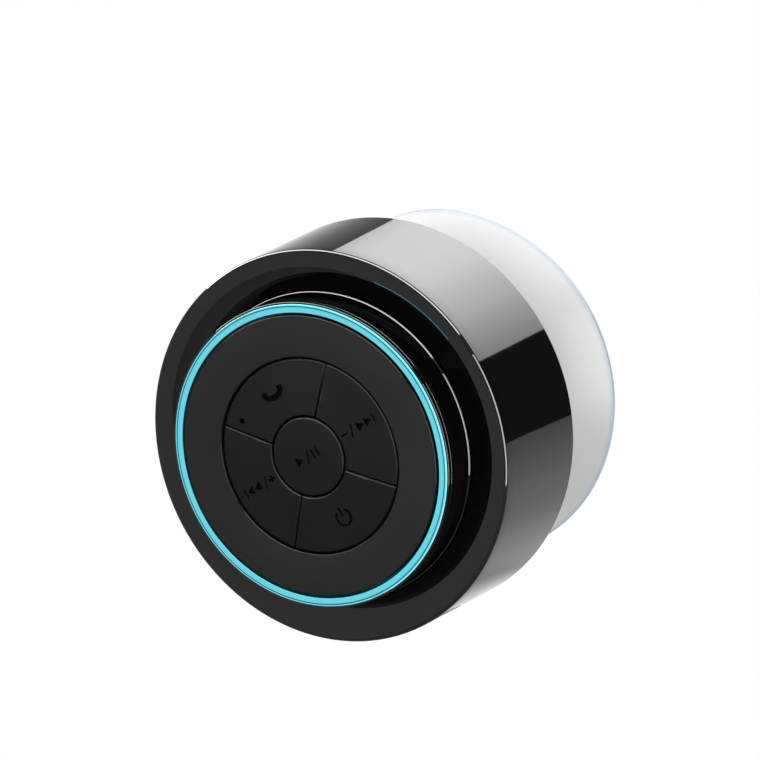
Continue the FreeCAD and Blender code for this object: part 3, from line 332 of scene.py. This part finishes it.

# ---- keys ------------------------------------------------------------------------------------------------
# Five moulded caps under one shallow dome that starts a little below the panel, parted by narrow grooves. The
# legends are pressed in, their cuts painted near black as painted shade: a receiver, play and pause, skip
# with less or more, and power.
key_floor = 60.2
key_outer = 20.1
dome_edge = 62.3
dome_rise = 0.9
dome_bend = (key_outer ** 2 + dome_rise ** 2) / (2 * dome_rise)
groove = 0.5
middle_key = 8.35
key_edge = 0.2
legend = 3.2
legend_circle = 14.2
legend_depth = 0.3
mic_circle = 16.5
mic_angle = math.radians(127)
mic_hole = 0.6


def dome(radius):
    """Level of the shared dome at a radius."""
    return dome_edge + dome_rise - dome_bend + math.sqrt(dome_bend ** 2 - radius ** 2)


def dome_run(start, end, steps):
    """Section points along the dome, between two radii."""
    radii = [start + (end - start) * step / steps for step in range(steps + 1)]
    return [(radius, dome(radius)) for radius in radii]


def sunk(cap, cutter):
    """Cut a tool out of a cap; the walls and floor of the cut keep the tool's material."""
    bpy.ops.object.select_all(action="DESELECT")
    cap.select_set(True)
    bpy.context.view_layer.objects.active = cap
    cut = cap.modifiers.new("cut", "BOOLEAN")
    cut.object = cutter
    cut.solver = "EXACT"
    cut.material_mode = "TRANSFER"
    bpy.ops.object.modifier_apply(modifier=cut.name)
    bpy.data.objects.remove(cutter, do_unlink=True)


def prism(corners, x, z, level):
    """A cutting tool: a flat outline in legend heights, filled and pulled towards the listener."""
    bpy.ops.object.select_all(action="DESELECT")
    bpy.ops.mesh.primitive_circle_add(vertices=len(corners), radius=1, fill_type="NGON",
                                      rotation=(math.pi / 2, 0, 0))
    tool = bpy.context.object
    bpy.ops.object.transform_apply()
    for vertex, (across, up) in zip(tool.data.vertices, corners):
        vertex.co = ((x + across * legend) * MM, -level * MM, (z + up * legend) * MM)
    bpy.ops.object.mode_set(mode="EDIT")
    bpy.ops.mesh.select_all(action="SELECT")
    bpy.ops.mesh.extrude_region_move(TRANSFORM_OT_translate={"value": (0, -4 * MM, 0)})
    bpy.ops.mesh.select_all(action="SELECT")
    bpy.ops.mesh.normals_make_consistent(inside=False)
    bpy.ops.object.mode_set(mode="OBJECT")
    tool.data.materials.append(recess_shade_black)
    return tool


def arrow(start, end, half_height=0.32):
    """Outline of a solid arrowhead from its base to its tip, in legend heights."""
    return [(start, -half_height), (end, 0), (start, half_height)]


def bar(start, end, half_height=0.32):
    """Outline of an upright or flat bar between two sides."""
    return [(start, -half_height), (end, -half_height), (end, half_height), (start, half_height)]


def slash(middle):
    """Outline of the sloping stroke between two meanings of one key."""
    return [(middle - 0.2, -0.4), (middle - 0.1, -0.4), (middle + 0.2, 0.4), (middle + 0.1, 0.4)]


def plus(middle, arm=0.24, half=0.06):
    """Outline of a plus sign, from the length and half the width of its arms."""
    return [(middle + x, y) for x, y in (
        (-arm, -half), (-half, -half), (-half, -arm), (half, -arm), (half, -half), (arm, -half),
        (arm, half), (half, half), (half, arm), (-half, arm), (-half, half), (-arm, half))]


def open_ring(outer=0.6, inner=0.45, gap=35, steps=30):
    """A ring with its gap at the top, as the power sign has."""
    angles = [math.radians(90 + gap + (360 - 2 * gap) * step / steps) for step in range(steps + 1)]
    rim = [(outer * math.cos(a), outer * math.sin(a)) for a in angles]
    return rim + [(inner * math.cos(a), inner * math.sin(a)) for a in reversed(angles)]


def curve(half_width, level, bend, steps=12):
    """Points of a shallow arc from left to right that sags below its ends, which lie at a level."""
    reach = math.asin(half_width / bend)
    angles = [-reach + 2 * reach * step / steps for step in range(steps + 1)]
    return [(bend * math.sin(a), level + bend * (math.cos(reach) - math.cos(a))) for a in angles]


def receiver():
    """A curved grip between two ear pieces that point up."""
    ears = [(0.85, 0.45), (0.42, 0.45)]
    return curve(0.85, 0.1, 1.05) + ears + curve(0.42, 0.17, 0.85)[::-1] + [(-0.42, 0.45), (-0.85, 0.45)]


key_rubber = moulded("key_rubber", (0.0058, 0.0058, 0.0059), 0.52, shine=0.10, grain=0.3, depth=0.014,
                     mottle=0.2)
# painted shade: the walls and floors of the sunk legends and of the microphone hole are coloured near black
# for the shade inside them
recess_shade_black = moulded("recess_shade_black", (0.001, 0.001, 0.001), 0.5, shine=0.03, grain=0.2, depth=0.006)
section = [(0, key_floor), (middle_key - groove / 2, key_floor)]
section += [(middle_key - groove / 2, dome(middle_key) - key_edge)]
section += dome_run(middle_key - groove / 2 - key_edge, 0, 8)
play_cap = turned("play_cap", section, closed=False, segments=128)
fitted(play_cap, key_rubber, "play_button", "key_rubber", "play_key")
for sign in (arrow(-0.95, -0.4), slash(0), bar(0.4, 0.52), bar(0.75, 0.87)):
    sunk(play_cap, prism(sign, 0, 0, dome(0) - legend_depth))

flange_radius = pad_radius + 1.0
flange_top = key_floor + 0.4
section = [(middle_key + groove / 2, key_floor), (flange_radius, key_floor), (flange_radius, flange_top)]
section += [(key_outer, flange_top), (key_outer, dome_edge - key_edge)]
section += dome_run(key_outer - key_edge, middle_key + groove / 2 + key_edge, 10)
section += [(middle_key + groove / 2, dome(middle_key) - key_edge)]
signs = {
    "next": [bar(-1.5, -1.05, 0.06), slash(-0.65), arrow(-0.2, 0.35), arrow(0.45, 1.0), bar(1.1, 1.22)],
    "call": [receiver()],
    "previous": [plus(1.2), slash(0.65), arrow(0.2, -0.35), arrow(-0.45, -1.0), bar(-1.22, -1.1)],
    "power": [open_ring(), [(-0.075, 0.1), (0.075, 0.1), (0.075, 0.7), (-0.075, 0.7)]],
}
for quarters, (name, outlines) in enumerate(signs.items()):
    cap = turned(f"{name}_cap", section)
    bpy.ops.object.mode_set(mode="EDIT")
    for side in (-1, 1):
        angle = math.radians(90 * quarters + 45 * side)
        outward = Vector((-math.sin(angle), 0, math.cos(angle))) * side
        bpy.ops.mesh.select_all(action="SELECT")
        bpy.ops.mesh.bisect(plane_co=-outward * groove / 2 * MM, plane_no=outward, use_fill=True,
                            clear_outer=True)
    bpy.ops.mesh.select_all(action="SELECT")
    bpy.ops.mesh.normals_make_consistent(inside=False)
    bpy.ops.object.mode_set(mode="OBJECT")
    fitted(cap, key_rubber, f"{name}_button", "key_rubber", f"{name}_key")
    middle_x = legend_circle * math.cos(math.radians(90 * quarters))
    middle_z = legend_circle * math.sin(math.radians(90 * quarters))
    for outline in outlines:
        sunk(cap, prism(outline, middle_x, middle_z, dome(legend_circle) - legend_depth))
    if name == "call":
        bpy.ops.object.select_all(action="DESELECT")
        bpy.ops.mesh.primitive_cylinder_add(
            vertices=32, radius=mic_hole * MM, depth=8 * MM, rotation=(math.pi / 2, 0, 0),
            location=(mic_circle * math.cos(mic_angle) * MM, -dome_edge * MM,
                      mic_circle * math.sin(mic_angle) * MM))
        drill = bpy.context.object
        drill.data.materials.append(recess_shade_black)
        sunk(cap, drill)

# ---- suction cup -----------------------------------------------------------------------------------------
# Cloudy soft vinyl, thick at the neck and thin at the lip, moulded over the hub's anchor. Light that scatters
# about inside the vinyl is stood for by a weak painted glow, and at the thin lip that glow and colour are
# painted a little bluer as a painted line of light.
cup_radius = 36.5
hollow = 8.6
hollow_edge = 35.3
hollow_bend = (hollow_edge ** 2 + hollow ** 2) / (2 * hollow)
cup_bend = 60.0
shoulder = Vector((12.5, 11.2))
brim = Vector((cup_radius, 0.9))
section = [(0, 10.8), (7.6, 10.8), (7.6, 12.6), (4.6, 12.6), (4.6, 15.8)]
section += arc(10.1, 15.4, 0.4, 90, 0, 3)
section += [(10.5, 12.6), (10.8, 11.9), (11.5, 11.45), tuple(shoulder)]
chord = brim - shoulder
centre = (brim + shoulder) / 2
centre += Vector((chord.y, -chord.x)).normalized() * math.sqrt(cup_bend ** 2 - (chord.length / 2) ** 2)
start, end = [math.degrees(math.atan2(p.y - centre.y, p.x - centre.x)) for p in (shoulder, brim)]
section += arc(centre.x, centre.y, cup_bend, start, end, 24)[1:]
section += [(cup_radius, 0.25), (cup_radius - 0.1, 0.05), (cup_radius - 0.25, 0)]
lip_angle = math.degrees(math.asin(hollow_edge / hollow_bend))
section += arc(0, hollow - hollow_bend, hollow_bend, 90 - lip_angle, 90, 24)
cloudy_vinyl = moulded("cloudy_vinyl", (0.11, 0.11, 0.111), 0.35, grain=1.5, depth=0.004, mottle=0.02)
vinyl = cloudy_vinyl.node_tree.nodes["Principled BSDF"]
vinyl.inputs["Transmission Weight"].default_value = 0.5
tree = cloudy_vinyl.node_tree
# painted light: towards the lip the colour and the glow turn bluer, a painted blue line of light along the
# lip
blue_lip_glow = tree.nodes.new("ShaderNodeMix")
blue_lip_glow.data_type = "RGBA"
lip_ramp = ranged(tree, from_axis(tree), (cup_radius - 0.7) * MM, cup_radius * MM)
tree.links.new(lip_ramp, blue_lip_glow.inputs["Factor"])
tree.links.new(tree.nodes["Color Ramp"].outputs["Color"], blue_lip_glow.inputs["A"])
blue_lip_glow.inputs["B"].default_value = (0.07, 0.088, 0.11, 1)
tree.links.new(blue_lip_glow.outputs["Result"], vinyl.inputs["Base Color"])
tree.links.new(blue_lip_glow.outputs["Result"], vinyl.inputs["Emission Color"])
vinyl.inputs["Emission Strength"].default_value = 3.4
vinyl.inputs["IOR"].default_value = 1.4
vinyl.inputs["Subsurface Weight"].default_value = 0.3
vinyl.inputs["Subsurface Radius"].default_value = (0.006, 0.007, 0.008)
vinyl.inputs["Subsurface Scale"].default_value = 1.0
fitted(turned("vinyl_cup", section, closed=False), cloudy_vinyl, "cup", "cup_silicone", "suction_cup")

# ---- rear ------------------------------------------------------------------------------------------------
# Satin ABS cover and hub with a fine spark-eroded grain, a nitrile ring between them, zinc-plated screws and
# a stamped steel charging socket.
satin_black = moulded("satin_black", (0.014, 0.014, 0.0145), 0.38, shine=0.4, grain=0.35, depth=0.012)
kept(satin_black, "rear_cover", "cup_hub", "baffle_plate", "driver_surround")
nitrile = moulded("nitrile", (0.010, 0.010, 0.010), 0.6, shine=0.3, grain=0.5, depth=0.01)
kept(nitrile, "hub_seal", "cover_seal", "usb_gasket", "key_membrane", "amplifier_chip")
zinc = moulded("zinc_plate", (0.62, 0.62, 0.64), 0.3, grain=0.3, depth=0.004, mottle=0.08, metal=1.0)
kept(zinc, "rear_cover_screws", "baffle_screws", "pod_screws", "key_board_screws", "main_board_screws",
     "usb_socket", "key_switches", "bluetooth_module", "microphone")

# ---- driver ----------------------------------------------------------------------------------------------
# A 43 mm unit: stamped and plated basket and a nickelled magnet, with a paper cone that hangs on a cloth
# spider and a rubber roll. The copper coil is wound on the cone's neck.
basket_plate = moulded("basket_plate", (0.40, 0.40, 0.42), 0.35, grain=0.8, depth=0.01, mottle=0.06,
                       metal=1.0)
kept(basket_plate, "driver_frame", "magnet_yoke", "pole_plate", "driver_magnet")
kept(cloth("cone_paper", (0.035, 0.035, 0.035), 0.6), "driver_cone", "dust_cap")
kept(cloth("spider_cloth", (0.45, 0.28, 0.12), 0.5), "driver_spider")
foam = moulded("foam", (0.03, 0.03, 0.03), 0.9, shine=0.1, grain=0.3, depth=0.1, mottle=0.3)
kept(foam, "driver_gasket", "battery_pad")
copper = moulded("enamelled_copper", (0.60, 0.24, 0.10), 0.3, grain=0.2, depth=0.03, metal=1.0)
kept(copper, "voice_coil")

# ---- electronics -----------------------------------------------------------------------------------------
# Green solder mask on both boards, white LEDs and key plungers, a foil-wrapped cell, sleeved leads and a
# polyimide ribbon.
solder_mask = moulded("solder_mask", (0.012, 0.11, 0.035), 0.3, grain=2, depth=0.02, mottle=0.25)
kept(solder_mask, "key_board", "main_board", "terminal_tag")
foil = moulded("cell_foil", (0.60, 0.62, 0.64), 0.35, grain=3, depth=0.08, mottle=0.05, metal=0.9)
kept(foil, "battery_cell", "capacitors")
sleeve = moulded("red_sleeve", (0.42, 0.02, 0.02), 0.4, grain=0.5, depth=0.01)
kept(sleeve, "battery_leads", "speaker_leads")
polyimide = moulded("polyimide", (0.42, 0.18, 0.03), 0.3, grain=1, depth=0.02, mottle=0.15)
kept(polyimide, "key_ribbon")
white_nylon = moulded("white_nylon", (0.72, 0.70, 0.64), 0.45, grain=0.5, depth=0.01)
kept(white_nylon, "leds", "play_plunger", "call_plunger", "next_plunger", "previous_plunger", "power_plunger")

# ---- camera ----------------------------------------------------------------------------------------------
# A long lens in front of the keys, a third of a right angle to the listener's right and a touch below, rolled
# so that the speaker leans to the left.
view_azimuth = math.radians(32.97)
view_elevation = math.radians(-2.29)
view_roll = math.radians(-29.8)
view_distance = 2.5
frame_width = 0.15375
stand = Matrix.Rotation(view_azimuth, 4, "Z") @ Matrix.Rotation(math.pi / 2 - view_elevation, 4, "X")
stand @= Matrix.Rotation(view_roll, 4, "Z")
reach = stand.to_3x3() @ Vector((10.3 * MM, 13.43 * MM, view_distance))
bpy.ops.object.camera_add()
camera = bpy.context.object
camera.matrix_world = Matrix.Translation(Vector((0, -shell_rim * MM, 0)) + reach) @ stand
camera.data.sensor_width = 36
camera.data.lens = camera.data.sensor_width * view_distance / frame_width
bpy.context.scene.camera = camera
bpy.context.scene.view_settings.view_transform = "Standard"

# ---- studio ----------------------------------------------------------------------------------------------
# White surroundings, a pale floor, and curved cards round the speaker. Each card covers the part of the room
# that the gloss mirrors for one range of angles round the side wall and of tilts towards the listener.
looking = -(stand.to_3x3() @ Vector((0, 0, 1)))


def card(name, around, tilts, distance, glows):
    """A curved card mirrored in the gloss between two angles round the axis and two tilts, in degrees.

    Its glow runs evenly through the given values, and is seen in first reflections only.
    """
    steps = 24
    rows = 8
    start_level = 45
    corners = []
    strengths = []
    for step in range(steps + 1):
        angle = math.radians(around[0] + (around[1] - around[0]) * step / steps)
        outward = Vector((math.cos(angle), 0, math.sin(angle)))
        place = step / steps * (len(glows) - 1)
        low = min(int(place), len(glows) - 2)
        for row in range(rows + 1):
            tilt = math.radians(tilts[0] + (tilts[1] - tilts[0]) * row / rows)
            normal = outward * math.cos(tilt) + Vector((0, -math.sin(tilt), 0))
            mirrored = looking - 2 * looking.dot(normal) * normal
            wall_point = outward * shell_radius * MM + Vector((0, -start_level * MM, 0))
            corners.append(wall_point + mirrored * distance)
            strengths.append(glows[low] + (glows[low + 1] - glows[low]) * (place - low))
    across = rows + 1
    faces = [(s * across + r, s * across + r + 1, (s + 1) * across + r + 1, (s + 1) * across + r)
             for s in range(steps) for r in range(rows)]
    mesh = bpy.data.meshes.new(name)
    mesh.from_pydata(corners, [], faces)
    mesh.attributes.new("glow", "FLOAT", "POINT").data.foreach_set("value", strengths)
    panel = bpy.data.objects.new(name, mesh)
    bpy.context.collection.objects.link(panel)
    paint = bpy.data.materials.new(name)
    paint.use_nodes = True
    tree = paint.node_tree
    surface = tree.nodes["Principled BSDF"]
    surface.inputs["Base Color"].default_value = (0.004, 0.004, 0.004, 1)
    surface.inputs["Specular IOR Level"].default_value = 0
    surface.inputs["Emission Color"].default_value = (1, 1, 1, 1)
    strength = tree.nodes.new("ShaderNodeAttribute")
    strength.attribute_name = "glow"
    bounce = tree.nodes.new("ShaderNodeLightPath")
    first = tree.nodes.new("ShaderNodeMath")
    first.operation = "LESS_THAN"
    first.inputs[1].default_value = 1.5
    tree.links.new(bounce.outputs["Glossy Depth"], first.inputs[0])
    shown = tree.nodes.new("ShaderNodeMath")
    shown.operation = "MULTIPLY"
    tree.links.new(strength.outputs["Fac"], shown.inputs[0])
    tree.links.new(first.outputs["Value"], shown.inputs[1])
    tree.links.new(shown.outputs["Value"], surface.inputs["Emission Strength"])
    panel.data.materials.append(paint)
    panel.visible_camera = False
    panel.visible_diffuse = False
    panel.visible_transmission = False
    panel.visible_shadow = False


card("softbox", (-1.5, 55.2), (-16, 9), 1.0, (2.6, 3.6, 4.75, 5.35, 5.7, 5.25, 4.3, 3.35, 2.1))
card("side_flag", (-26.5, -1.5), (-20, 20), 0.2, (0.04, 0.04))
card("top_flag", (55.2, 88), (-16, 9), 1.0, (0.22, 0.36, 0.62, 0.92, 0.95))
card("low_flag", (-88, -26.5), (-20, 20), 0.2, (1.0, 0.98, 0.62, 0.9, 0.95, 0.85, 0.87, 0.76, 0.55))
card("edge_light", (8, 100), (34, 59), 1.0, (18.0, 18.0))
card("edge_shade", (-40, 100), (9, 34), 1.0, (0.0, 0.0))
card("inner_shade", (-40, 100), (60, 76), 1.0, (0.0, 0.0))
card("low_edge_light", (-38, 1), (34, 59), 0.16, (12.0, 12.0))

# The ring's light spills onto the bezel's outer edge, and the dished face mirrors it as a thin line.
spill = (math.radians(11), math.radians(46))
spill_radius = 32.25
spill_steps = 24
corners = []
for step in range(spill_steps + 1):
    angle = spill[0] + (spill[1] - spill[0]) * step / spill_steps
    outward = Vector((math.cos(angle), 0, math.sin(angle)))
    for level in (61.75, 62.0):
        corners.append(outward * spill_radius * MM + Vector((0, -level * MM, 0)))
mesh = bpy.data.meshes.new("ring_spill")
mesh.from_pydata(corners, [], [(2 * s, 2 * s + 1, 2 * s + 3, 2 * s + 2) for s in range(spill_steps)])
ring_spill = bpy.data.objects.new("ring_spill", mesh)
bpy.context.collection.objects.link(ring_spill)
paint = bpy.data.materials.new("ring_spill")
paint.use_nodes = True
glow = paint.node_tree.nodes["Principled BSDF"]
glow.inputs["Emission Color"].default_value = (0.02, 0.62, 1.0, 1)
glow.inputs["Emission Strength"].default_value = 13
mesh.materials.append(paint)
ring_spill.visible_camera = False
ring_spill.visible_diffuse = False
ring_spill.visible_shadow = False
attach(ring_spill, "speaker")

world = bpy.data.worlds.new("studio")
bpy.context.scene.world = world
world.use_nodes = True
surround = world.node_tree
backdrop = surround.nodes["Background"]
backdrop.inputs["Color"].default_value = (1, 1, 1, 1)
backdrop.inputs["Strength"].default_value = 0.6
white = surround.nodes.new("ShaderNodeBackground")
white.inputs["Color"].default_value = (1, 1, 1, 1)
ray = surround.nodes.new("ShaderNodeLightPath")
choice = surround.nodes.new("ShaderNodeMixShader")
surround.links.new(ray.outputs["Is Camera Ray"], choice.inputs[0])
surround.links.new(backdrop.outputs[0], choice.inputs[1])
surround.links.new(white.outputs[0], choice.inputs[2])
surround.links.new(choice.outputs[0], surround.nodes["World Output"].inputs["Surface"])

bpy.ops.object.select_all(action="DESELECT")
bpy.ops.mesh.primitive_plane_add(size=4, location=(0, 0, -0.16))
floor = bpy.context.object
floor.name = "floor"
pale = bpy.data.materials.new("pale_floor")
pale.use_nodes = True
pale.node_tree.nodes["Principled BSDF"].inputs["Base Color"].default_value = (0.5, 0.5, 0.5, 1)
pale.node_tree.nodes["Principled BSDF"].inputs["Roughness"].default_value = 0.8
floor.data.materials.append(pale)
